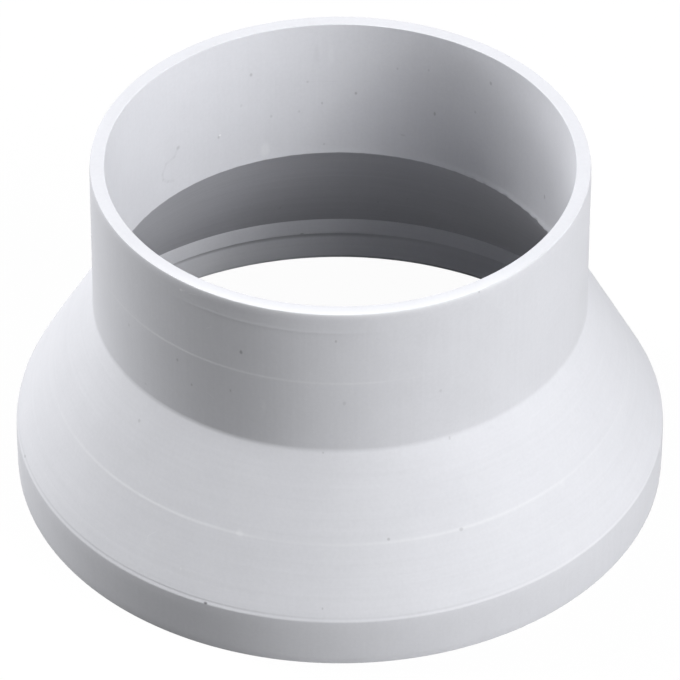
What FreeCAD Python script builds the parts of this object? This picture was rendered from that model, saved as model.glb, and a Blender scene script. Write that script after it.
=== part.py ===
import FreeCAD, Part
import math
import os

import Sketcher

# A reducing ring for round ventilation duct, moulded in one piece. A straight spigot slides into
# the smaller duct, a cone widens below it, and a short band at the foot takes the larger duct
# inside. The ring stands on its band: the base lies on z = 0, the axis is +Z, the rim is on top.

# Driving dimensions in millimetres, one cell each: alias, value, what it is.
DIMENSIONS = [
    ("total_height", 74.5, "base to rim"),
    ("spigot_radius", 50.0, "outside of the spigot, which slides into the smaller duct"),
    ("spigot_wall", 3.0, "wall of the spigot"),
    ("spigot_length", 33.0, "rim to the corner where the cone starts"),
    ("band_radius", 66.8, "outside of the band at the foot"),
    ("band_height", 11.0, "base to the foot of the cone"),
    ("cone_wall", 2.5, "wall of the cone, measured square to it"),
    ("shoulder_wall", 3.2, "wall of the stop shoulder inside the band"),
    ("socket_wall", 2.4, "wall of the socket, which takes the larger duct"),
    ("socket_depth", 8.0, "base to the ledge under the stop shoulder"),
    ("lead_in", 0.8, "chamfer at the mouth of the socket"),
    ("crease_fillet", 1.5, "fillet in the outer corner between spigot and cone"),
    ("rim_outer_round", 0.4, "rounding of the rim's outer edge"),
    ("rim_inner_round", 0.2, "rounding of the rim's inner edge"),
    ("band_top_round", 0.3, "rounding of the edge between cone and band"),
    ("band_foot_round", 0.2, "rounding of the band's lower outer edge"),
]

BORE_RADIUS = "sizes.spigot_radius - sizes.spigot_wall"
SHOULDER_RADIUS = "sizes.band_radius - sizes.shoulder_wall"
SOCKET_RADIUS = "sizes.band_radius - sizes.socket_wall"
CONE_TOP = "sizes.total_height - sizes.spigot_length"

# The sketch's own names for its horizontal axis, and for a line's or an arc's two ends.
HORIZONTAL_AXIS = -1
ORIGIN = (-1, 1)
START = 1
END = 2

# Two lengths closer than this, in millimetres, are the same when an edge is looked up.
SAME_LENGTH = 1e-4


def make_sizes(document):
    """Write the driving dimensions into a spreadsheet and give each its alias."""
    sheet = document.addObject("Spreadsheet::Sheet", "sizes")
    for row, (alias, value, meaning) in enumerate(DIMENSIONS, start=1):
        sheet.set(f"A{row}", meaning)
        sheet.set(f"B{row}", str(value))
        sheet.setAlias(f"B{row}", alias)
    document.recompute()
    return sheet


def length_of(sheet, expression):
    """The value in millimetres of an expression in the sheet's aliases."""
    return float(sheet.evalExpression(expression.replace("sizes.", "")))


def origin_plane(body, role):
    """One of the body's own origin planes, found by its role."""
    return next(plane for plane in body.Origin.OriginFeatures if plane.Role == role)


def constrain(sketch, *words):
    """Add one constraint and return its index."""
    return sketch.addConstraint(Sketcher.Constraint(*words))


def bind(sketch, index, name, expression):
    """Name a dimension and drive it from the sheet."""
    sketch.renameConstraint(index, name)
    sketch.setExpression(f".Constraints.{name}", expression)


def place_across(sketch, sheet, line, name, expression):
    """Set how far an upright line stands from the axis."""
    distance = length_of(sheet, expression)
    bind(sketch, constrain(sketch, "DistanceX", *ORIGIN, line, START, distance), name, expression)


def place_above(sketch, sheet, item, name, expression):
    """Set how high a line's start, or a point, stands above the base."""
    distance = length_of(sheet, expression)
    bind(sketch, constrain(sketch, "DistanceY", *ORIGIN, item, START, distance), name, expression)


def rounding(corner, before, after, radius):
    """The arc that rounds a corner, its ends towards the corners before and after, and its sense.

    The arc itself always runs anticlockwise, so on an inside corner its ends are the other way
    round from the outline's.
    """
    towards_before = (before - corner).normalize()
    towards_after = (after - corner).normalize()
    half_angle = towards_before.getAngle(towards_after) / 2
    reach = radius / math.tan(half_angle)
    first = corner + towards_before * reach
    last = corner + towards_after * reach
    bisector = (towards_before + towards_after).normalize()
    centre = corner + bisector * (radius / math.sin(half_angle))
    is_outside = (corner - before).cross(after - corner).z > 0
    opening, closing = (first, last) if is_outside else (last, first)
    start_angle = math.atan2(opening.y - centre.y, opening.x - centre.x)
    end_angle = math.atan2(closing.y - centre.y, closing.x - centre.x)
    circle = Part.Circle(centre, FreeCAD.Vector(0, 0, 1), radius)
    return Part.ArcOfCircle(circle, start_angle, end_angle), first, last, is_outside


def draw_wall_section(body, sheet):
    """The closed section of the ring's wall, to one side of the axis, with every size bound."""
    sketch = body.newObject("Sketcher::SketchObject", "wall_section")
    sketch.AttachmentSupport = (origin_plane(body, "XZ_Plane"), [""])
    sketch.MapMode = "FlatFace"

    band = length_of(sheet, "sizes.band_radius")
    band_top = length_of(sheet, "sizes.band_height")
    spigot = length_of(sheet, "sizes.spigot_radius")
    cone_top = length_of(sheet, CONE_TOP)
    rim = length_of(sheet, "sizes.total_height")
    bore = length_of(sheet, BORE_RADIUS)
    shoulder = length_of(sheet, SHOULDER_RADIUS)
    socket = length_of(sheet, SOCKET_RADIUS)
    ledge = length_of(sheet, "sizes.socket_depth")

    # The corners in order, anticlockwise from the mouth of the socket, each with the alias of its
    # rounding. The inner cone is drawn level with the outer one: its wall then sets its height.
    corners = [
        (socket, 0, None),
        (band, 0, None),
        (band, band_top, "band_top_round"),
        (spigot, cone_top, "crease_fillet"),
        (spigot, rim, None),
        (bore, rim, None),
        (bore, cone_top, None),
        (shoulder, band_top, None),
        (shoulder, ledge, None),
        (socket, ledge, None),
    ]
    foot, band_side, outer_cone, spigot_side, rim_top = range(5)
    bore_side, inner_cone, shoulder_side, ledge_face, socket_side = range(5, 10)
    count = len(corners)
    points = [FreeCAD.Vector(radius, height, 0) for radius, height, _ in corners]
    roundings = {}
    for number, (_, _, alias) in enumerate(corners):
        if alias:
            before = points[number - 1]
            after = points[(number + 1) % count]
            radius = length_of(sheet, f"sizes.{alias}")
            roundings[number] = rounding(points[number], before, after, radius)

    # One straight line leaves each corner, short of the rounding at either end.
    for number in range(count):
        following = (number + 1) % count
        start = roundings[number][2] if number in roundings else points[number]
        end = roundings[following][1] if following in roundings else points[following]
        sketch.addGeometry(Part.LineSegment(start, end), False)
    for number in range(count):
        if number not in roundings:
            constrain(sketch, "Coincident", (number - 1) % count, END, number, START)

    # A rounding touches the lines either side of it, and they cross at the corner's own point.
    corner_point = {}
    for number, (arc, _, _, is_outside) in roundings.items():
        alias = corners[number][2]
        before = (number - 1) % count
        arc_number = sketch.addGeometry(arc, False)
        first, last = (START, END) if is_outside else (END, START)
        constrain(sketch, "Tangent", before, END, arc_number, first)
        constrain(sketch, "Tangent", number, START, arc_number, last)
        radius = length_of(sheet, f"sizes.{alias}")
        bind(sketch, constrain(sketch, "Radius", arc_number, radius), alias, f"sizes.{alias}")
        point = sketch.addGeometry(Part.Point(points[number]), True)
        constrain(sketch, "PointOnObject", point, START, before)
        constrain(sketch, "PointOnObject", point, START, number)
        corner_point[number] = point

    for line in (rim_top, ledge_face):
        constrain(sketch, "Horizontal", line)
    for line in (band_side, spigot_side, bore_side, shoulder_side, socket_side):
        constrain(sketch, "Vertical", line)
    for line in (foot, band_side):
        constrain(sketch, "PointOnObject", line, START, HORIZONTAL_AXIS)

    place_across(sketch, sheet, band_side, "band_radius", "sizes.band_radius")
    place_across(sketch, sheet, spigot_side, "spigot_radius", "sizes.spigot_radius")
    place_across(sketch, sheet, bore_side, "bore_radius", BORE_RADIUS)
    place_across(sketch, sheet, shoulder_side, "shoulder_radius", SHOULDER_RADIUS)
    place_across(sketch, sheet, socket_side, "socket_radius", SOCKET_RADIUS)
    place_above(sketch, sheet, corner_point[outer_cone], "band_height", "sizes.band_height")
    place_above(sketch, sheet, corner_point[spigot_side], "cone_top", CONE_TOP)
    place_above(sketch, sheet, rim_top, "rim_height", "sizes.total_height")
    place_above(sketch, sheet, ledge_face, "ledge_height", "sizes.socket_depth")

    # The inner cone runs parallel to the outer one, one wall inside it.
    constrain(sketch, "Parallel", inner_cone, outer_cone)
    wall = length_of(sheet, "sizes.cone_wall")
    wall_index = constrain(sketch, "Distance", inner_cone, START, outer_cone, wall)
    bind(sketch, wall_index, "cone_wall", "sizes.cone_wall")
    return sketch


def ring_edge(feature, radius, height):
    """The name of the feature's full circle about Z at this radius and height."""
    for number, edge in enumerate(feature.Shape.Edges, start=1):
        curve = edge.Curve
        if not isinstance(curve, Part.Circle):
            continue
        same_radius = abs(curve.Radius - radius) < SAME_LENGTH
        same_height = abs(curve.Center.z - height) < SAME_LENGTH
        if same_radius and same_height:
            return f"Edge{number}"
    raise RuntimeError(f"no edge of radius {radius} at height {height} on {feature.Name}")


def make_reducing_ring(document, sheet):
    """The whole ring: one revolved wall section, then its rounded ends and its lead-in chamfer."""
    body = document.addObject("PartDesign::Body", "reducing_ring")
    body.Label = "reducing_ring"
    section = draw_wall_section(body, sheet)
    document.recompute()
    if not section.FullyConstrained:
        raise RuntimeError("the wall section is not fully constrained")

    ring = body.newObject("PartDesign::Revolution", "revolved_wall")
    ring.Profile = section
    ring.ReferenceAxis = (section, ["V_Axis"])
    ring.Angle = 360.0
    document.recompute()

    rim = length_of(sheet, "sizes.total_height")
    spigot = length_of(sheet, "sizes.spigot_radius")
    bore = length_of(sheet, BORE_RADIUS)
    socket = length_of(sheet, SOCKET_RADIUS)
    band = length_of(sheet, "sizes.band_radius")
    steps = [
        ("PartDesign::Fillet", "outer_rim_edge", spigot, rim, "Radius", "rim_outer_round"),
        ("PartDesign::Fillet", "inner_rim_edge", bore, rim, "Radius", "rim_inner_round"),
        ("PartDesign::Chamfer", "socket_mouth", socket, 0, "Size", "lead_in"),
        ("PartDesign::Fillet", "band_foot_edge", band, 0, "Radius", "band_foot_round"),
    ]
    for kind, name, radius, height, size_name, alias in steps:
        feature = body.newObject(kind, name)
        feature.Base = (ring, [ring_edge(ring, radius, height)])
        feature.setExpression(size_name, f"sizes.{alias}")
        document.recompute()
        ring = feature
    body.Tip = ring
    document.recompute()
    return body


def check_document(document):
    """Stop if any object of the document failed to recompute."""
    for thing in document.Objects:
        if "Invalid" in thing.State or "Error" in thing.State:
            raise RuntimeError(f"{thing.Name} did not recompute: {thing.State}")


def check_solid(body):
    """Stop unless the body is one valid solid."""
    shape = body.Shape
    if shape.isNull() or not shape.isValid() or len(shape.Solids) != 1:
        raise RuntimeError(f"{body.Label} is not one valid solid")


def main():
    document = FreeCAD.newDocument("reducing_ring")
    sheet = make_sizes(document)
    ring = make_reducing_ring(document, sheet)
    check_document(document)
    check_solid(ring)

    os.makedirs("parts", exist_ok=True)
    ring.Shape.exportStep(f"parts/{ring.Label}.step")
    box = ring.Shape.optimalBoundingBox()
    print(f"{ring.Label}: volume {ring.Shape.Volume:.1f} mm3, {len(ring.Shape.Faces)} faces")
    print(f"box {box.XLength:.3f} x {box.YLength:.3f} x {box.ZLength:.3f} mm, from z = {box.ZMin:.3f}")


main()
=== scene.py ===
import math

import bmesh
import bpy
from mathutils import Matrix, Vector, noise


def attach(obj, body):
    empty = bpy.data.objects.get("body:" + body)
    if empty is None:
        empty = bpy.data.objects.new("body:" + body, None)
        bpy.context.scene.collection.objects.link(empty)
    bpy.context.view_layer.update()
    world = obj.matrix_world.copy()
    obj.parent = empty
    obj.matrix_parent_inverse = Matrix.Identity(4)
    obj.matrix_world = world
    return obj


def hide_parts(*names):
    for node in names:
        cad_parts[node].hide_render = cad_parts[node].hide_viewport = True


# A reducing ring for round ventilation duct, moulded in satin grey plastic, standing on a white
# floor. Lengths below are in millimetres unless a name ends in _M, and the mesh is in metres.
# Azimuths are in degrees from +X towards +Y, so 270 faces the camera.

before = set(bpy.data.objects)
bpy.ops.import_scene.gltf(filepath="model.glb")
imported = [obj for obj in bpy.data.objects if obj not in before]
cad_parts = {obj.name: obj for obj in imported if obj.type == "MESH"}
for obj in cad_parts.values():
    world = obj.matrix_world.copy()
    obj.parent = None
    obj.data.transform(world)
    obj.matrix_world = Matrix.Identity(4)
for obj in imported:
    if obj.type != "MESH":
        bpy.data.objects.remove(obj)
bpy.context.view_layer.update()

MM = 0.001

# The ring's own sizes, as the CAD has them.
TOTAL_HEIGHT = 74.5
SPIGOT_RADIUS = 50.0
SPIGOT_WALL = 3.0
SPIGOT_LENGTH = 33.0
BAND_RADIUS = 66.8
BAND_HEIGHT = 11.0
CONE_WALL = 2.5
SHOULDER_WALL = 3.2
SOCKET_WALL = 2.4
SOCKET_DEPTH = 8.0
LEAD_IN = 0.8
RIM_INNER_ROUND = 0.2

# What the moulded part adds to them: a wider crease and a softer band edge, a little draft on the
# spigot, a rim that rounds off gently, a cone that is slightly full near its top, a band that
# eases in towards its top corner and its foot, and a shoulder that is a little thicker.
CREASE_FILLET = 2.2
BAND_TOP_ROUND = 1.0
SPIGOT_DRAFT = 0.18
RIM_ROUND_IN = 0.22
RIM_ROUND_DOWN = 1.9
RIM_NORMAL_TILTS = (0.0, 3.0, 6.0, 10.0, 15.0, 22.0, 30.0, 45.0, 60.0, 75.0, 90.0)
CONE_TOP_DROP = 0.2
CONE_BELLY_HEIGHT = 34.0
CONE_BELLY = 0.14
CONE_BELLY_CURVE = 540.0
BAND_CORNER_DROP = 0.25
BAND_TOP_EASE = 0.1
BAND_TOP_EASE_DOWN = 1.5
BAND_FOOT_EASE = 0.08
BAND_FOOT_EASE_UP = 1.2
BAND_FOOT_ROUND = 0.12
EASE_TOP_CURVE = 33.0
EASE_FOOT_CURVE = 22.0
SHOULDER_STEP_IN = 0.3
SHOULDER_STEP_UP = 0.24

BORE_RADIUS = SPIGOT_RADIUS - SPIGOT_WALL
SHOULDER_RADIUS = BAND_RADIUS - SHOULDER_WALL - SHOULDER_STEP_IN
SOCKET_RADIUS = BAND_RADIUS - SOCKET_WALL
CONE_TOP = TOTAL_HEIGHT - SPIGOT_LENGTH
CONE_RISE = CONE_TOP - BAND_HEIGHT
CONE_RUN = BAND_RADIUS - SPIGOT_RADIUS
CONE_SLANT = math.hypot(CONE_RISE, CONE_RUN)
CONE_WALL_ACROSS = CONE_WALL * CONE_SLANT / CONE_RISE
CONE_SLOPE = CONE_RISE / CONE_RUN
INNER_CREASE_HEIGHT = CONE_TOP + (SPIGOT_WALL - CONE_WALL_ACROSS) * CONE_SLOPE
SHOULDER_TOP = BAND_HEIGHT + (SHOULDER_WALL - CONE_WALL_ACROSS) * CONE_SLOPE + SHOULDER_STEP_UP
BAND_CORNER_RADIUS = BAND_RADIUS - BAND_TOP_EASE
BAND_CORNER_HEIGHT = BAND_HEIGHT - BAND_CORNER_DROP
CONE_START = CONE_TOP - CONE_TOP_DROP
SPIGOT_FOOT_RADIUS = SPIGOT_RADIUS + SPIGOT_DRAFT
OUTER_SLOPE = (CONE_START - BAND_CORNER_HEIGHT) / (BAND_CORNER_RADIUS - SPIGOT_RADIUS)
CONE_BELLY_RADIUS = SPIGOT_RADIUS + (CONE_START - CONE_BELLY_HEIGHT) / OUTER_SLOPE + CONE_BELLY
UPPER_SLOPE = (CONE_START - CONE_BELLY_HEIGHT) / (CONE_BELLY_RADIUS - SPIGOT_RADIUS)
CREASE_HEIGHT = CONE_START - SPIGOT_DRAFT * UPPER_SLOPE
LOWER_SLOPE = (CONE_BELLY_HEIGHT - BAND_CORNER_HEIGHT) / (BAND_CORNER_RADIUS - CONE_BELLY_RADIUS)
INNER_SLOPE = (INNER_CREASE_HEIGHT - SHOULDER_TOP) / (SHOULDER_RADIUS - BORE_RADIUS)

# Small edges that a mould leaves soft.
SOFT_EDGE = 0.12
CRISP_EDGE = 0.06

# The mesh: segments round the axis, steps of an arc, the longest row, the closest two rows, and
# the closer rows on each side of a fine relief, which reach this many of its half widths.
SEGMENTS = 480
ARC_STEP_DEG = 15.0
ROW_LENGTH = 4.5
CLOSEST_ROWS = 0.06
RELIEF_STEPS = 5
RELIEF_ROWS_REACH = 1.6

# A step fades back into the wall over this many of its half widths, and a groove's lower flank is
# this much longer than its upper one. Past the reach a ridge, groove or nick is nothing.
STEP_FADE = 14.0
STEP_REACH = STEP_FADE + 2
RIDGE_REACH = 3
GROOVE_LOWER_FLANK = 3.0

# Nicks: how fast they come and go round the edge, the plane of noise that they are read from, how
# deep the edge is cut everywhere, and how sharply the deeper ones stand out.
NICKS_PER_DEGREE = 0.55
NICKS_PLANE = 7.0
NICKS_BASE = 0.15
NICKS_GAIN = 2.2

# How far either side the relief is read to tilt a normal.
HEIGHT_PROBE = 0.01
AZIMUTH_PROBE_DEG = 0.25


def outer_cone_radius(height):
    """Radius of the outer cone at a height."""
    if height > CONE_BELLY_HEIGHT:
        return SPIGOT_RADIUS + (CONE_START - height) / UPPER_SLOPE
    return BAND_CORNER_RADIUS - (height - BAND_CORNER_HEIGHT) / LOWER_SLOPE


def inner_cone_radius(height):
    """Radius of the inner cone at a height."""
    return BORE_RADIUS + (INNER_CREASE_HEIGHT - height) / INNER_SLOPE


# The radius at a height on each wall that carries a spot or a line.
WALL_RADIUS = {
    "cone": outer_cone_radius,
    "spigot": lambda height: SPIGOT_RADIUS,
    "bore": lambda height: BORE_RADIUS,
    "inner_cone": inner_cone_radius,
    "shoulder": lambda height: SHOULDER_RADIUS,
}


def eased(share):
    """A share from 0 to 1 that starts and ends gently."""
    return share * share * (3 - 2 * share)


class Relief:
    """A shallow form round some walls: its height, half width, depth, and how strong by azimuth.

    Its painted light above zero turns the plastic paler along it as a painted highlight, and below
    zero it darkens it as painted shade. A mark without depth changes only the colour."""

    def __init__(self, walls, height, half_width, depth, form, strengths, painted_light_and_shade=0.0):
        self.walls = walls
        self.height = height
        self.half_width = half_width
        self.depth = depth
        self.form = form
        self.strengths = strengths
        self.painted_light_and_shade = painted_light_and_shade

    def strength(self, azimuth):
        """Strength at an azimuth, between the two nearest of the given ones."""
        azimuth = azimuth % 360
        first = self.strengths[0]
        last = self.strengths[-1]
        before = (last[0] - 360, last[1])
        for after in self.strengths + [(first[0] + 360, first[1])]:
            if azimuth <= after[0]:
                break
            before = after
        share = (azimuth - before[0]) / (after[0] - before[0])
        return before[1] + (after[1] - before[1]) * eased(share)

    def bell(self, height):
        """A soft peak across the line."""
        along = (height - self.height) / self.half_width
        return math.exp(-along * along)

    def offset(self, height, azimuth):
        """How far the wall stands out there."""
        along = (height - self.height) / self.half_width
        if self.form == "groove":
            flank = 1.0 if along > 0 else GROOVE_LOWER_FLANK
            shape = -max(0.0, 1 - abs(along) / flank)
        elif self.form == "ridge":
            shape = self.bell(height)
        elif self.form == "step":
            below = min(1.0, max(0.0, (1 - along) / 2))
            fade = min(1.0, max(0.0, 1 + (along + 1) / STEP_FADE))
            shape = eased(below) * fade
        else:
            # Nicks, which the noise makes ragged.
            ragged = noise.noise(Vector((azimuth * NICKS_PER_DEGREE, 0.0, NICKS_PLANE)))
            shape = -self.bell(height) * min(1.0, max(0.0, NICKS_BASE + NICKS_GAIN * ragged))
        return self.depth * shape * self.strength(azimuth)


# How far some of the marks lie from the corner that they belong to.
GROOVE_ABOVE_BAND = 0.57
PALE_EDGE_ABOVE_BAND = 0.28
# These two place bands of painted shade, under the ledge and at the mouth's lip.
SHADE_UNDER_LEDGE = 1.15
SHADE_ABOVE_LEAD_IN = 0.12

# Each form's strengths are pairs of an azimuth and how strong it is there.
ALL_ROUND = [(0, 1.0), (180, 1.0)]
RELIEFS = [
    # The groove above the band's edge, darkened as painted shade, and the pale line between them, a
    # painted highlight.
    Relief(("cone",), height=BAND_CORNER_HEIGHT + GROOVE_ABOVE_BAND, half_width=0.26, depth=0.028,
           form="groove", painted_light_and_shade=-0.07,
           strengths=[(60, 0.8), (200, 0.9), (222, 1.2), (240, 1.5), (256, 1.1), (272, 0.7),
                      (290, 1.0), (312, 0.4), (340, 0.3)]),
    Relief(("cone",), height=BAND_CORNER_HEIGHT + PALE_EDGE_ABOVE_BAND, half_width=0.18, depth=0.0,
           form="ridge", painted_light_and_shade=0.16,
           strengths=[(60, 0.3), (236, 0.0), (268, 0.2), (286, 0.8), (305, 1.0), (325, 1.0),
                      (345, 0.3)]),
    # The main step line round the cone, paler along it as a painted highlight.
    Relief(("cone",), height=24.52, half_width=0.3, depth=0.022, form="step", painted_light_and_shade=0.19,
           strengths=[(60, 0.6), (190, 0.2), (202, 0.4), (212, 0.8), (222, 1.0), (250, 1.0),
                      (256, 0.45), (272, 0.6), (284, 1.05), (294, 1.15), (310, 1.0), (325, 0.35),
                      (340, 0.2)]),
    # The ring isn't quite round: it is fuller at the back left.
    Relief(("cone", "band"), height=15.0, half_width=10.0, depth=0.52, form="ridge",
           strengths=[(134, 0.0), (149, 1.0), (157, 0.9), (166, 0.4), (174, 0.0)]),
    # Two faint steps lower on the cone.
    Relief(("cone",), height=17.0, half_width=0.2, depth=0.008, form="step", strengths=ALL_ROUND),
    Relief(("cone",), height=14.2, half_width=0.2, depth=0.008, form="step", strengths=ALL_ROUND),
    # The spigot's step line, paler along it as a painted highlight, and the soft ridge below its
    # rim.
    Relief(("spigot",), height=57.75, half_width=0.28, depth=0.03, form="step", painted_light_and_shade=0.22,
           strengths=[(60, 0.5), (202, 0.15), (214, 0.6), (226, 1.0), (240, 0.9), (255, 0.8),
                      (276, 0.8), (284, 0.25), (300, 0.0), (340, 0.1)]),
    Relief(("spigot",), height=70.1, half_width=0.4, depth=0.035, form="ridge",
           strengths=[(60, 0.3), (220, 0.0), (232, 0.4), (244, 1.0), (262, 1.0), (280, 0.6),
                      (300, 0.2)]),
    # The front of the rim is whitened as a painted highlight.
    Relief(("rim",), height=TOTAL_HEIGHT, half_width=0.5, depth=0.0, form="ridge", painted_light_and_shade=0.42,
           strengths=[(0, 0.0), (210, 0.0), (245, 1.0), (295, 1.0), (330, 0.0)]),
    # Painted shade under the ledge and at the mouth's lip.
    Relief(("socket",), height=SOCKET_DEPTH - SHADE_UNDER_LEDGE, half_width=0.55, depth=0.0,
           form="ridge", painted_light_and_shade=-0.55,
           strengths=[(20, 0.3), (66, 0.1), (78, 0.45), (90, 0.8), (109, 1.0), (170, 1.0),
                      (250, 0.3)]),
    Relief(("socket",), height=LEAD_IN + SHADE_ABOVE_LEAD_IN, half_width=0.22, depth=0.0,
           form="ridge", painted_light_and_shade=-0.8,
           strengths=[(20, 1.0), (90, 1.0), (110, 0.5), (135, 0.4), (330, 1.0)]),
    # The burr inside the mouth, and the one along the inner crease.
    Relief(("socket", "lead_in"), height=LEAD_IN, half_width=0.8, depth=0.3, form="ridge",
           strengths=[(10, 0.0), (30, 1.0), (54, 1.0), (66, 0.6), (78, 0.4), (95, 0.0),
                      (330, 0.0)]),
    Relief(("bore", "inner_cone"), height=INNER_CREASE_HEIGHT, half_width=1.0, depth=0.26,
           form="ridge",
           strengths=[(5, 0.6), (35, 1.0), (60, 0.8), (75, 0.55), (90, 0.35), (120, 0.1),
                      (150, 0.0), (330, 0.0)]),
    # Painted shade over the socket's right, turning into painted light at its left, and painted
    # shade over the inner cone's right.
    Relief(("socket",), height=SOCKET_DEPTH / 2, half_width=5.0, depth=0.0, form="ridge",
           painted_light_and_shade=-0.22,
           strengths=[(20, 1.0), (62, 1.0), (88, 0.0), (110, -0.8), (150, -0.8), (200, 0.0),
                      (330, 0.0)]),
    Relief(("inner_cone",), height=22.0, half_width=16.0, depth=0.0, form="ridge", painted_light_and_shade=-0.22,
           strengths=[(20, 1.0), (52, 1.0), (70, 0.4), (95, 0.0), (330, 0.0)]),
    # Ragged nicks in the inner crease's burr.
    Relief(("bore", "inner_cone"), height=INNER_CREASE_HEIGHT, half_width=0.35, depth=0.24,
           form="nicks",
           strengths=[(5, 0.8), (25, 1.0), (50, 1.0), (62, 0.4), (90, 0.2), (180, 0.2),
                      (330, 0.2)]),
]


class Row:
    """One ring of the mesh: its place and normal in the section, and the wall that it lies on."""

    def __init__(self, point, normal, wall):
        self.point = point
        self.normal = normal
        self.wall = wall


def section_corners():
    """The wall's section anticlockwise from the socket's mouth: corner, rounding, wall after it."""
    return [
        ((SOCKET_RADIUS + LEAD_IN, 0.0), SOFT_EDGE, "foot"),
        ((BAND_RADIUS - BAND_FOOT_EASE, 0.0), BAND_FOOT_ROUND, "band"),
        ((BAND_RADIUS, BAND_FOOT_EASE_UP), EASE_FOOT_CURVE, "band"),
        ((BAND_RADIUS, BAND_CORNER_HEIGHT - BAND_TOP_EASE_DOWN), EASE_TOP_CURVE, "band"),
        ((BAND_CORNER_RADIUS, BAND_CORNER_HEIGHT), BAND_TOP_ROUND, "cone"),
        ((CONE_BELLY_RADIUS, CONE_BELLY_HEIGHT), CONE_BELLY_CURVE, "cone"),
        ((SPIGOT_FOOT_RADIUS, CREASE_HEIGHT), CREASE_FILLET, "spigot"),
        ((SPIGOT_RADIUS, TOTAL_HEIGHT), None, "rim"),
        ((BORE_RADIUS, TOTAL_HEIGHT), RIM_INNER_ROUND, "bore"),
        ((BORE_RADIUS, INNER_CREASE_HEIGHT), SOFT_EDGE, "inner_cone"),
        ((SHOULDER_RADIUS, SHOULDER_TOP), SOFT_EDGE, "shoulder"),
        ((SHOULDER_RADIUS, SOCKET_DEPTH), CRISP_EDGE, "ledge"),
        ((SOCKET_RADIUS, SOCKET_DEPTH), CRISP_EDGE, "socket"),
        ((SOCKET_RADIUS, LEAD_IN), CRISP_EDGE, "lead_in"),
    ]


def arc_rows(corner, before, after, radius, wall):
    """Rows of the small arc that rounds a corner."""
    into = (before - corner).normalized()
    away = (after - corner).normalized()
    turn = math.pi - into.angle(away)
    reach = radius * math.tan(turn / 2)
    start_normal = Vector((-into.y, into.x))
    side = -1.0 if start_normal.dot(away) < 0 else 1.0
    centre = corner + into * reach + start_normal * radius * side
    steps = max(2, math.ceil(math.degrees(turn) / ARC_STEP_DEG))
    rows = []
    for step in range(steps + 1):
        normal = Matrix.Rotation(turn * step / steps * -side, 2) @ start_normal
        rows.append(Row(centre - normal * radius * side, normal, wall))
    return rows


def rim_rows(wall):
    """Rows of the rim's outer edge, a tall narrow quarter of an ellipse."""
    rows = []
    for degrees in RIM_NORMAL_TILTS:
        tilt = math.radians(degrees)
        normal = Vector((math.cos(tilt), math.sin(tilt)))
        spread = math.hypot(RIM_ROUND_IN * normal.x, RIM_ROUND_DOWN * normal.y)
        radius = SPIGOT_RADIUS - RIM_ROUND_IN + RIM_ROUND_IN ** 2 * normal.x / spread
        height = TOTAL_HEIGHT - RIM_ROUND_DOWN + RIM_ROUND_DOWN ** 2 * normal.y / spread
        rows.append(Row(Vector((radius, height)), normal, wall))
    return rows


def run_rows(start, end, wall):
    """Rows along a straight wall: even ones, and closer ones where a fine relief crosses it."""
    length = (end.point - start.point).length
    count = math.ceil(length / ROW_LENGTH)
    shares = [step / count for step in range(1, count)]
    rise = end.point.y - start.point.y
    for relief in RELIEFS:
        # The rim is flat, so no height picks a place along it.
        if wall in relief.walls and wall != "rim" and relief.half_width < ROW_LENGTH:
            for step in range(-RELIEF_STEPS, RELIEF_STEPS + 1):
                height = relief.height + relief.half_width * RELIEF_ROWS_REACH * step / RELIEF_STEPS
                shares.append((height - start.point.y) / rise)
    rows = []
    last = 0.0
    for share in sorted(shares):
        if (share - last) * length >= CLOSEST_ROWS and (1 - share) * length >= CLOSEST_ROWS:
            normal = start.normal.lerp(end.normal, share).normalized()
            rows.append(Row(start.point.lerp(end.point, share), normal, wall))
            last = share
    return rows


def section_rows():
    """Every row of the section, arcs and straight walls in turn."""
    corners = section_corners()
    count = len(corners)
    arcs = []
    for number in range(count):
        place, radius, wall = corners[number]
        corner = Vector(place)
        before = Vector(corners[number - 1][0])
        after = Vector(corners[(number + 1) % count][0])
        if radius is None:
            arcs.append(rim_rows(wall))
        else:
            arcs.append(arc_rows(corner, before, after, radius, wall))
    rows = []
    for number in range(count):
        rows += arcs[number]
        rows += run_rows(arcs[number][-1], arcs[(number + 1) % count][0], corners[number][2])
    return rows


def relief_at(wall, height, azimuth):
    """How far all the reliefs of a wall push it out at one place."""
    total = 0.0
    for relief in RELIEFS:
        reach = relief.half_width * (STEP_REACH if relief.form == "step" else RIDGE_REACH)
        if wall in relief.walls and abs(height - relief.height) < reach:
            total += relief.offset(height, azimuth)
    return total


def painted_light_and_shade_at(wall, height, azimuth):
    """How much painted highlight makes the plastic paler there, or below zero how much painted
    shade darkens it.
    """
    total = 0.0
    for relief in RELIEFS:
        if relief.painted_light_and_shade and wall in relief.walls:
            total += relief.painted_light_and_shade * relief.bell(height) * relief.strength(azimuth)
    return total


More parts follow.
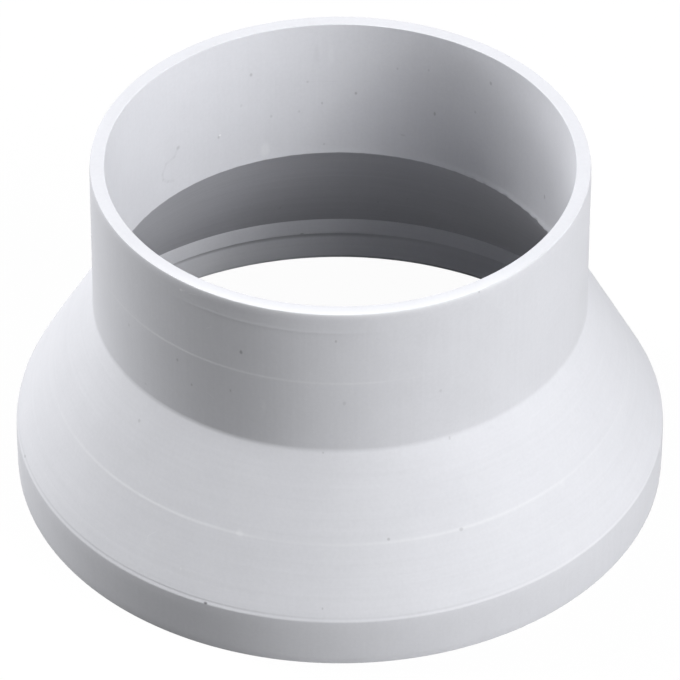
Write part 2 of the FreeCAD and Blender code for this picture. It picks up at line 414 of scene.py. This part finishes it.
def placed_vertex(row, azimuth):
    """A vertex of the wall with its relief, and the normal tilted to match, in metres."""
    radius, height = row.point
    offset = relief_at(row.wall, height, azimuth)
    # The relief's slopes up the wall and round it, each read from both sides.
    above = relief_at(row.wall, height + HEIGHT_PROBE, azimuth)
    below = relief_at(row.wall, height - HEIGHT_PROBE, azimuth)
    ahead = relief_at(row.wall, height, azimuth + AZIMUTH_PROBE_DEG)
    behind = relief_at(row.wall, height, azimuth - AZIMUTH_PROBE_DEG)
    climb = (above - below) / (2 * HEIGHT_PROBE) * row.normal.x
    across = (ahead - behind) / (2 * math.radians(AZIMUTH_PROBE_DEG) * radius)
    out = row.normal.x + row.normal.y * climb
    up = row.normal.y - row.normal.x * climb
    angle = math.radians(azimuth)
    cosine = math.cos(angle)
    sine = math.sin(angle)
    normal = Vector((out * cosine + across * sine, out * sine - across * cosine, up)).normalized()
    radius += row.normal.x * offset
    # The foot stays on the floor.
    height = max(0.0, height + row.normal.y * offset)
    return Vector((radius * cosine, radius * sine, height)) * MM, normal


# How strongly each wall shows streaks round it, left by turning, and streaks along it.
STREAKS_ROUND = {"cone": 0.55, "inner_cone": 1.0, "shoulder": 1.0, "socket": 0.8, "rim": 0.3}
STREAKS_ALONG = {"spigot": 1.0, "bore": 0.8, "band": 0.8, "cone": 0.3}

# The walls of each material, in the order of the mesh's own material slots.
MATERIAL_WALLS = (
    ("foot", "band", "cone", "spigot", "rim"),
    ("bore",),
    ("inner_cone",),
    ("shoulder", "ledge", "socket", "lead_in"),
)


def ring_mesh(name):
    """The ring as one closed mesh of revolution, with its reliefs, streak weights and painted light
    and shade.
    """
    rows = section_rows()
    mesh = bpy.data.meshes.new(name)
    shape = bmesh.new()
    rings = []
    normals = []
    painted_light_and_shade_values = []
    indices = {wall: index for index, walls in enumerate(MATERIAL_WALLS) for wall in walls}
    for number in range(SEGMENTS):
        azimuth = 360 * number / SEGMENTS
        # Each row's painted light and shade: a painted highlight above zero, painted shade below
        # zero.
        painted_light_and_shade_values += [painted_light_and_shade_at(row.wall, row.point.y, azimuth) for row in rows]
        placed = [placed_vertex(row, azimuth) for row in rows]
        rings.append([shape.verts.new(place) for place, _ in placed])
        normals += [normal for _, normal in placed]
    for number in range(SEGMENTS):
        ring = rings[number]
        beside = rings[(number + 1) % SEGMENTS]
        for place in range(len(rows)):
            above = (place + 1) % len(rows)
            face = shape.faces.new((ring[place], beside[place], beside[above], ring[above]))
            face.smooth = True
            face.material_index = indices[rows[place].wall]
    shape.to_mesh(mesh)
    shape.free()
    mesh.normals_split_custom_set_from_vertices(normals)
    streaks_round = [STREAKS_ROUND.get(row.wall, 0.0) for row in rows] * SEGMENTS
    streaks_along = [STREAKS_ALONG.get(row.wall, 0.0) for row in rows] * SEGMENTS
    for title, values in (("streaks_round", streaks_round), ("streaks_along", streaks_along),
                          ("painted_light_and_shade", painted_light_and_shade_values)):
        mesh.attributes.new(title, "FLOAT", "POINT").data.foreach_set("value", values)
    return mesh


# The sRGB curve: a straight foot up to the knee, and a power above it.
SRGB_FULL = 255
SRGB_KNEE = 0.04045
SRGB_FOOT = 12.92
SRGB_SHIFT = 0.055
SRGB_POWER = 2.4


def linear(red, green, blue):
    """A colour written in 8-bit sRGB, as linear values with alpha."""
    values = []
    for channel in (red, green, blue):
        share = channel / SRGB_FULL
        if share <= SRGB_KNEE:
            values.append(share / SRGB_FOOT)
        else:
            values.append(((share + SRGB_SHIFT) / (1 + SRGB_SHIFT)) ** SRGB_POWER)
    return (*values, 1.0)


# The plastic's colours, one for each material: outside, bore, inner cone and mouth, with the inner
# cone's darkened as painted shade and the mouth's lightened as painted light. Each has a lighter
# and a darker end. Then the colour of scuffs and painted highlights, and of dirt and painted shade.
PLASTIC_TONES_WITH_PAINTED_LIGHT = (
    (linear(210, 211, 216), linear(201, 202, 207)),
    (linear(214, 215, 220), linear(205, 206, 211)),
    # The inner cone's tone is darkened as painted shade.
    (linear(186, 187, 193), linear(175, 176, 182)),
    # The mouth's tone is lightened as painted light.
    (linear(221, 222, 227), linear(212, 213, 218)),
)
SCUFF_AND_HIGHLIGHT_COLOUR = linear(236, 237, 239)
DIRT_AND_SHADE_COLOUR = linear(96, 97, 101)
DIRT_AND_SHADE_SHARE = 0.8
PLASTIC_ROUGHNESS = 0.6
ROUGHNESS_WEAR = 0.16
PLASTIC_GLOSS = 0.15

# The plastic's patterns, all in the object's own metres. Streaks round a wall change slowly with
# azimuth and fast with height, and streaks along it the other way about.
ROUND_STREAKS_BY_AZIMUTH = 1.6
ROUND_STREAKS_BY_HEIGHT = 1400.0
ALONG_STREAKS_BY_AZIMUTH = 75.0
ALONG_STREAKS_BY_HEIGHT = 35.0
STREAKS_DETAIL = 3.0
STREAKS_ROUGHNESS = 0.6
MOTTLE_SCALE = 90.0
MOTTLE_DETAIL = 5.0
MOTTLE_ROUGHNESS = 0.6
GRAIN_SCALE = 1500.0
GRAIN_DETAIL = 2.0

# How far each pattern moves the colour from the middle of its two ends, and how deep the bump is.
TONE_MIDDLE = 0.5
TONE_ROUND_STREAKS = 1.3
TONE_ALONG_STREAKS = 0.5
TONE_MOTTLE = 0.9
TONE_GRAIN = 0.7
BUMP_STRENGTH = 0.25
BUMP_DISTANCE_M = 0.00002
BUMP_ALONG_STREAKS = 0.6

# A spot is full inside this share of its half size, and gone at this one. A line is full inside
# this share of its half width, and gone at its edge.
SPOT_CORE = 0.35
SPOT_RIM = 1.25
LINE_CORE = 1 / 3

# Spots on the walls: wall, azimuth, height, width and length in millimetres, strength.
DIRT_SPOTS = [
    ("spigot", 247.5, 62.5, 0.7, 1.1, 0.6),
    ("spigot", 269.1, 68.2, 0.5, 0.8, 0.35),
    ("spigot", 230.6, 54.5, 0.7, 0.9, 0.3),
    ("spigot", 244.8, 52.2, 0.5, 0.9, 0.35),
    ("spigot", 234.6, 50.0, 0.6, 0.8, 0.35),
    ("spigot", 271.0, 52.9, 0.8, 1.2, 0.18),
    ("spigot", 293.1, 52.9, 0.8, 0.9, 0.18),
    ("spigot", 213.8, 54.6, 0.7, 0.9, 0.2),
    ("spigot", 302.5, 74.2, 0.5, 0.6, 0.4),
    ("spigot", 220.0, 43.2, 0.7, 0.7, 0.2),
    ("cone", 279.4, 25.1, 0.7, 0.7, 0.4),
    ("cone", 293.8, 24.4, 1.0, 0.8, 0.3),
    ("cone", 221.3, 36.0, 0.8, 0.9, 0.25),
    ("cone", 266.3, 40.6, 0.4, 0.5, 0.3),
    ("cone", 295.3, 40.5, 0.5, 1.4, 0.25),
    ("cone", 267.1, 13.2, 0.4, 0.9, 0.3),
    ("cone", 246.6, 10.9, 0.9, 0.6, 1.0),
    ("cone", 194.4, 11.4, 1.0, 0.6, 0.4),
    ("bore", 113.2, 64.4, 0.7, 1.0, 0.38),
    ("bore", 86.1, 57.1, 0.6, 0.8, 0.45),
    ("bore", 65.4, 54.9, 0.6, 1.1, 0.45),
    ("bore", 49.0, 67.9, 0.7, 1.1, 0.38),
    ("bore", 67.2, 65.6, 0.5, 0.7, 0.22),
    ("bore", 75.5, 64.4, 0.5, 0.8, 0.22),
    ("bore", 94.7, 54.6, 0.5, 0.8, 0.3),
    ("bore", 98.4, 60.3, 0.6, 0.7, 0.19),
    ("bore", 107.9, 52.7, 0.6, 0.8, 0.22),
    ("bore", 100.6, 52.9, 0.6, 0.8, 0.19),
    ("bore", 116.0, 57.2, 0.7, 0.9, 0.15),
    ("bore", 135.5, 53.2, 1.2, 1.1, 0.22),
    ("bore", 122.6, 51.0, 0.6, 0.8, 0.3),
    ("bore", 53.7, 58.9, 0.6, 0.8, 0.22),
    ("bore", 26.9, 49.5, 0.7, 1.3, 0.38),
    ("bore", 73.9, 47.6, 1.3, 0.6, 0.15),
    ("bore", 94.2, 44.0, 0.6, 0.6, 0.22),
    ("bore", 96.0, 67.0, 1.6, 6.0, 0.06),
    ("inner_cone", 82.1, 20.3, 0.4, 1.2, 0.35),
    ("inner_cone", 75.4, 23.6, 0.4, 1.2, 0.25),
    ("inner_cone", 102.5, 18.6, 0.5, 1.0, 0.25),
    ("inner_cone", 109.4, 21.0, 0.4, 0.8, 0.25),
    ("shoulder", 97.5, 8.2, 0.9, 0.5, 0.4),
]
SCUFF_SPOTS = [
    ("spigot", 252.9, 50.2, 1.0, 3.6, 0.12),
    ("spigot", 232.0, 72.4, 0.9, 0.8, 0.3),
    ("cone", 250.6, 24.6, 1.8, 1.6, 0.2),
    ("cone", 318.1, 24.0, 1.6, 1.4, 0.1),
    ("cone", 240.7, 15.4, 0.4, 1.6, 0.2),
    ("bore", 122.2, 51.4, 0.5, 0.6, 0.9),
    ("bore", 109.6, 44.4, 2.4, 4.2, 0.25),
    ("bore", 92.4, 67.2, 1.4, 6.0, 0.1),
]

# Fine lines on the walls, as chains of places: wall, half width, strength, azimuths and heights.
DARK_LINES = [
    ("bore", 0.5, 0.07, [(135.6, 53.2), (136.9, 51.5), (140.0, 51.0), (141.4, 49.0), (141.2, 47.5),
                         (139.4, 46.2), (137.3, 45.5)]),
    ("bore", 0.15, 0.05, [(99.0, 60.3), (92.0, 60.1), (83.0, 60.4)]),
]
PALE_LINES = [
    ("cone", 0.14, 0.12, [(233.8, 19.8), (232.6, 18.6), (232.6, 17.8)]),
    ("spigot", 0.2, 0.3, [(238.7, 49.7), (239.7, 49.3), (240.7, 48.7)]),
    ("spigot", 0.2, 0.2, [(262.6, 56.8), (263.6, 56.3)]),
    ("spigot", 0.2, 0.3, [(231.8, 72.4), (233.0, 72.6)]),
    ("spigot", 0.16, 0.25, [(234.2, 72.5), (236.4, 72.9)]),
    ("spigot", 0.16, 0.15, [(238.9, 65.7), (240.2, 66.5)]),
]


def wall_point(wall, azimuth, height):
    """A place on a wall in metres."""
    radius = WALL_RADIUS[wall](height)
    angle = math.radians(azimuth)
    return Vector((radius * math.cos(angle), radius * math.sin(angle), height)) * MM


class Nodes:
    """Short names for the node kinds that the materials and the world use."""

    # The Mix node's sockets for colours, which have the same names as those for plain numbers.
    MIX_FIRST = 6
    MIX_SECOND = 7
    MIX_RESULT = 2

    def __init__(self, tree):
        self.tree = tree

    def feed(self, socket, value):
        """A link where the value is a socket, and otherwise the value itself."""
        if isinstance(value, bpy.types.NodeSocket):
            self.tree.links.new(value, socket)
        else:
            socket.default_value = value

    def add(self, kind, operation=None):
        """A new node, with its operation where it has one."""
        node = self.tree.nodes.new(kind)
        if operation:
            node.operation = operation
        return node

    def number(self, operation, first, second=0.0):
        """A sum, product or the like of two numbers."""
        node = self.add("ShaderNodeMath", operation)
        self.feed(node.inputs[0], first)
        self.feed(node.inputs[1], second)
        return node.outputs[0]

    def vector(self, operation, first, second=(0.0, 0.0, 0.0)):
        """The same for two vectors, or the length of the first."""
        node = self.add("ShaderNodeVectorMath", operation)
        self.feed(node.inputs[0], first)
        self.feed(node.inputs[1], second)
        single = operation in ("LENGTH", "DOT_PRODUCT")
        return node.outputs["Value" if single else "Vector"]

    def scaled(self, vector, scale):
        """A vector times a number."""
        node = self.add("ShaderNodeVectorMath", "SCALE")
        self.feed(node.inputs[0], vector)
        self.feed(node.inputs["Scale"], scale)
        return node.outputs["Vector"]

    def ranged(self, value, low, high, at_low, at_high):
        """One value below low, another above high, and a smooth step between them."""
        node = self.add("ShaderNodeMapRange")
        node.interpolation_type = "SMOOTHSTEP"
        for socket, given in zip(node.inputs, (value, low, high, at_low, at_high)):
            self.feed(socket, given)
        return node.outputs[0]

    def noise(self, vector, scale, detail, roughness=0.5):
        """A noise pattern from 0 to 1."""
        node = self.add("ShaderNodeTexNoise")
        self.feed(node.inputs["Vector"], vector)
        node.inputs["Scale"].default_value = scale
        node.inputs["Detail"].default_value = detail
        node.inputs["Roughness"].default_value = roughness
        return node.outputs[0]

    def centred(self, pattern):
        """A pattern from 0 to 1, moved to lie round zero."""
        return self.number("SUBTRACT", pattern, 0.5)

    def attribute(self, title):
        """A number that the mesh carries at its vertices."""
        node = self.add("ShaderNodeAttribute")
        node.attribute_name = title
        return node.outputs["Fac"]

    def mixed(self, share, first, second):
        """A colour between two others."""
        node = self.add("ShaderNodeMix")
        node.data_type = "RGBA"
        self.feed(node.inputs["Factor"], share)
        self.feed(node.inputs[self.MIX_FIRST], first)
        self.feed(node.inputs[self.MIX_SECOND], second)
        return node.outputs[self.MIX_RESULT]

    def total(self, values):
        """The sum of a list of numbers."""
        result = 0.0
        for value in values:
            result = self.number("ADD", result, value)
        return result


def spot_shares(nodes, place, walls, spots):
    """How much of each place the spots on some walls cover."""
    shares = []
    for wall, azimuth, height, width, length, strength in spots:
        if wall not in walls:
            continue
        offset = nodes.vector("SUBTRACT", place, wall_point(wall, azimuth, height))
        squeeze = (2 / (width * MM), 2 / (width * MM), 2 / (length * MM))
        squeezed = nodes.vector("MULTIPLY", offset, squeeze)
        distance = nodes.vector("LENGTH", squeezed)
        shares.append(nodes.ranged(distance, SPOT_CORE, SPOT_RIM, strength, 0.0))
    return shares


def line_shares(nodes, place, walls, lines):
    """How much of each place the fine lines on some walls cover, one share a straight piece."""
    shares = []
    for wall, half_width, strength, route in lines:
        if wall not in walls:
            continue
        for start, end in zip(route, route[1:]):
            first = wall_point(wall, *start)
            way = wall_point(wall, *end) - first
            offset = nodes.vector("SUBTRACT", place, first)
            share = nodes.vector("DOT_PRODUCT", offset, way / way.length_squared)
            share = nodes.number("MINIMUM", nodes.number("MAXIMUM", share, 0.0), 1.0)
            beside = nodes.vector("SUBTRACT", offset, nodes.scaled(way, share))
            distance = nodes.vector("LENGTH", beside)
            edge = half_width * MM
            shares.append(nodes.ranged(distance, edge * LINE_CORE, edge, strength, 0.0))
    return shares


def streaks(nodes, facing, upright, by_azimuth, by_height, attribute):
    """Fine streaks one way or the other, as strong as the mesh's own attribute says."""
    place = nodes.vector("ADD", nodes.scaled(facing, by_azimuth), nodes.scaled(upright, by_height))
    pattern = nodes.centred(nodes.noise(place, 1.0, STREAKS_DETAIL, STREAKS_ROUGHNESS))
    return nodes.number("MULTIPLY", pattern, nodes.attribute(attribute))


def plastic_material(walls, light, deep):
    """Satin grey plastic with faint streaks, mottle and grain, small scuffs and specks of dirt, and
    painted highlights and painted shade.
    """
    material = bpy.data.materials.new("grey_plastic_" + walls[0])
    material.use_nodes = True
    nodes = Nodes(material.node_tree)
    shader = material.node_tree.nodes["Principled BSDF"]
    place = nodes.add("ShaderNodeTexCoord").outputs["Object"]

    flat = nodes.vector("MULTIPLY", place, (1.0, 1.0, 0.0))
    radius = nodes.vector("LENGTH", flat)
    facing = nodes.scaled(flat, nodes.number("DIVIDE", 1.0, radius))
    upright = nodes.vector("MULTIPLY", place, (0.0, 0.0, 1.0))

    round_streaks = streaks(nodes, facing, upright, ROUND_STREAKS_BY_AZIMUTH,
                            ROUND_STREAKS_BY_HEIGHT, "streaks_round")
    along_streaks = streaks(nodes, facing, upright, ALONG_STREAKS_BY_AZIMUTH,
                            ALONG_STREAKS_BY_HEIGHT, "streaks_along")
    mottle = nodes.centred(nodes.noise(place, MOTTLE_SCALE, MOTTLE_DETAIL, MOTTLE_ROUGHNESS))
    grain = nodes.centred(nodes.noise(place, GRAIN_SCALE, GRAIN_DETAIL))

    tone = nodes.total([
        nodes.number("MULTIPLY", round_streaks, TONE_ROUND_STREAKS),
        nodes.number("MULTIPLY", along_streaks, TONE_ALONG_STREAKS),
        nodes.number("MULTIPLY", mottle, TONE_MOTTLE),
        nodes.number("MULTIPLY", grain, TONE_GRAIN),
    ])
    tone = nodes.number("ADD", tone, TONE_MIDDLE)
    colour = nodes.mixed(tone, deep, light)
    # The reliefs' painted highlights above zero and painted shade below zero.
    painted_light_and_shade = nodes.attribute("painted_light_and_shade")
    # Scuffs and pale lines, with the reliefs' painted highlights added.
    scuffs_and_highlights = spot_shares(nodes, place, walls, SCUFF_SPOTS)
    scuffs_and_highlights += line_shares(nodes, place, walls, PALE_LINES)
    scuffs_and_highlights = nodes.total(scuffs_and_highlights + [nodes.number("MAXIMUM", painted_light_and_shade, 0.0)])
    colour = nodes.mixed(nodes.number("MINIMUM", scuffs_and_highlights, 1.0), colour, SCUFF_AND_HIGHLIGHT_COLOUR)
    # Dirt specks and dark lines, with the reliefs' painted shade added.
    dirt_and_shade = spot_shares(nodes, place, walls, DIRT_SPOTS)
    dirt_and_shade += line_shares(nodes, place, walls, DARK_LINES)
    painted_shade = nodes.number("MULTIPLY", painted_light_and_shade, -1.0)
    dirt_and_shade = nodes.total(dirt_and_shade + [nodes.number("MAXIMUM", painted_shade, 0.0)])
    dirt_and_shade = nodes.number("MULTIPLY", dirt_and_shade, DIRT_AND_SHADE_SHARE)
    colour = nodes.mixed(nodes.number("MINIMUM", dirt_and_shade, 1.0), colour, DIRT_AND_SHADE_COLOUR)
    nodes.feed(shader.inputs["Base Color"], colour)

    worn = nodes.number("MULTIPLY", nodes.number("ADD", mottle, grain), ROUGHNESS_WEAR)
    nodes.feed(shader.inputs["Roughness"], nodes.number("ADD", worn, PLASTIC_ROUGHNESS))
    shader.inputs["Specular IOR Level"].default_value = PLASTIC_GLOSS

    bump = nodes.add("ShaderNodeBump")
    bump.inputs["Strength"].default_value = BUMP_STRENGTH
    bump.inputs["Distance"].default_value = BUMP_DISTANCE_M
    along_bump = nodes.number("MULTIPLY", along_streaks, BUMP_ALONG_STREAKS)
    nodes.feed(bump.inputs["Height"], nodes.total([round_streaks, along_bump, grain]))
    nodes.feed(shader.inputs["Normal"], bump.outputs["Normal"])
    return material


WHITE = (1.0, 1.0, 1.0, 1.0)

# The floor looks white to the camera, and its own grey is what lights the ring from below.
FLOOR_WHITE_SHARE = 0.97
FLOOR_SEEN_GREY = 0.8
FLOOR_BOUNCE_GREY = 0.1
FLOOR_SIZE_M = 12.0
AMBIENT_STRENGTH = 0.02

# Camera: where it stands, how far down it looks and its small roll in radians, and its lens.
CAMERA_DISTANCE_M = 0.8361
CAMERA_HEIGHT_M = 0.6939
CAMERA_PITCH = 0.6720
CAMERA_ROLL = 0.0023
SENSOR_WIDTH = 36.0
CAMERA_LENS = 276.54
CLIP_START_M = 0.01
CLIP_END_M = 50.0

# Soft lamps round the ring: name, azimuth in degrees, elevation in degrees, power in watts.
LAMP_DISTANCE_M = 1.6
LAMP_SIZE_M = 0.6
LAMPS = [
    ("low_back_left_lamp", 157.0, 12.0, 11.8),
    ("low_front_left_lamp", 247.0, 12.0, 1.7),
    ("low_front_right_lamp", 315.0, 12.0, 6.4),
    ("back_left_lamp", 157.0, 38.0, 14.1),
    ("front_lamp", 292.0, 38.0, 1.3),
    ("front_right_lamp", 315.0, 38.0, 9.8),
    ("right_lamp", 337.0, 38.0, 15.1),
    ("high_back_lamp", 112.0, 64.0, 3.9),
    ("high_back_left_lamp", 157.0, 64.0, 5.1),
]


def seen_share(nodes, path):
    """One for rays from the camera, off gloss and through glass, and nothing for the others."""
    seen = nodes.number("MAXIMUM", path.outputs["Is Camera Ray"], path.outputs["Is Glossy Ray"])
    return nodes.number("MAXIMUM", seen, path.outputs["Is Transmission Ray"])


def floor_material():
    """White to the camera and in reflections, with a soft shadow, and grey to other rays."""
    material = bpy.data.materials.new("white_floor")
    material.use_nodes = True
    tree = material.node_tree
    tree.nodes.clear()
    nodes = Nodes(tree)
    path = nodes.add("ShaderNodeLightPath")
    greys = ((FLOOR_BOUNCE_GREY,) * 3 + (1.0,), (FLOOR_SEEN_GREY,) * 3 + (1.0,))
    diffuse = nodes.add("ShaderNodeBsdfDiffuse")
    nodes.feed(diffuse.inputs["Color"], nodes.mixed(path.outputs["Is Camera Ray"], *greys))
    white = nodes.add("ShaderNodeEmission")
    white.inputs["Color"].default_value = WHITE
    mix = nodes.add("ShaderNodeMixShader")
    white_share = nodes.number("MULTIPLY", seen_share(nodes, path), FLOOR_WHITE_SHARE)
    nodes.feed(mix.inputs["Fac"], white_share)
    nodes.feed(mix.inputs[1], diffuse.outputs[0])
    nodes.feed(mix.inputs[2], white.outputs[0])
    output = nodes.add("ShaderNodeOutputMaterial")
    nodes.feed(output.inputs["Surface"], mix.outputs[0])
    return material


def add_camera():
    """The camera that took the photograph."""
    data = bpy.data.cameras.new("photo_camera")
    data.sensor_width = SENSOR_WIDTH
    data.lens = CAMERA_LENS
    data.clip_start = CLIP_START_M
    data.clip_end = CLIP_END_M
    camera = bpy.data.objects.new("photo_camera", data)
    place = Matrix.Translation((0.0, -CAMERA_DISTANCE_M, CAMERA_HEIGHT_M))
    tilt = Matrix.Rotation(math.pi / 2 - CAMERA_PITCH, 4, "X")
    roll = Matrix.Rotation(CAMERA_ROLL, 4, "Z")
    camera.matrix_world = place @ tilt @ roll
    bpy.context.scene.collection.objects.link(camera)
    bpy.context.scene.camera = camera


def add_lamp(name, azimuth, elevation, power):
    """A round soft lamp that looks at the middle of the ring."""
    data = bpy.data.lights.new(name, "AREA")
    data.shape = "DISK"
    data.size = LAMP_SIZE_M
    data.energy = power
    lamp = bpy.data.objects.new(name, data)
    turn = math.radians(azimuth)
    climb = math.radians(elevation)
    flat = math.cos(climb)
    spot = Vector((math.cos(turn) * flat, math.sin(turn) * flat, math.sin(climb))) * LAMP_DISTANCE_M
    lamp.location = Vector((0.0, 0.0, TOTAL_HEIGHT * MM / 2)) + spot
    lamp.rotation_euler = (-spot).to_track_quat("-Z", "Y").to_euler()
    bpy.context.scene.collection.objects.link(lamp)


def add_world():
    """A dim even light, and white where the camera or a reflection looks past the floor."""
    world = bpy.data.worlds.new("studio")
    bpy.context.scene.world = world
    world.use_nodes = True
    world.node_tree.nodes.clear()
    nodes = Nodes(world.node_tree)
    path = nodes.add("ShaderNodeLightPath")
    ambient = nodes.add("ShaderNodeBackground")
    ambient.inputs["Strength"].default_value = AMBIENT_STRENGTH
    white = nodes.add("ShaderNodeBackground")
    white.inputs["Strength"].default_value = 1.0
    for node in (ambient, white):
        node.inputs["Color"].default_value = WHITE
    mix = nodes.add("ShaderNodeMixShader")
    nodes.feed(mix.inputs["Fac"], seen_share(nodes, path))
    nodes.feed(mix.inputs[1], ambient.outputs[0])
    nodes.feed(mix.inputs[2], white.outputs[0])
    output = nodes.add("ShaderNodeOutputWorld")
    nodes.feed(output.inputs["Surface"], mix.outputs[0])


def add_floor():
    """A large flat floor under the ring."""
    mesh = bpy.data.meshes.new("floor")
    half = FLOOR_SIZE_M / 2
    shape = bmesh.new()
    signs = ((-1, -1), (1, -1), (1, 1), (-1, 1))
    shape.faces.new([shape.verts.new((x * half, y * half, 0.0)) for x, y in signs])
    shape.to_mesh(mesh)
    shape.free()
    floor = bpy.data.objects.new("floor", mesh)
    mesh.materials.append(floor_material())
    bpy.context.scene.collection.objects.link(floor)


def add_ring():
    """The ring itself, which stands for the CAD's one node."""
    ring = bpy.data.objects.new("ring_shell", ring_mesh("ring_shell"))
    for walls, (light, deep) in zip(MATERIAL_WALLS, PLASTIC_TONES_WITH_PAINTED_LIGHT):
        ring.data.materials.append(plastic_material(walls, light, deep))
    bpy.context.scene.collection.objects.link(ring)
    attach(ring, "root")
    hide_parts("reducing_ring")


add_ring()
add_floor()
add_world()
for lamp in LAMPS:
    add_lamp(*lamp)
add_camera()
bpy.context.scene.view_settings.view_transform = "Standard"
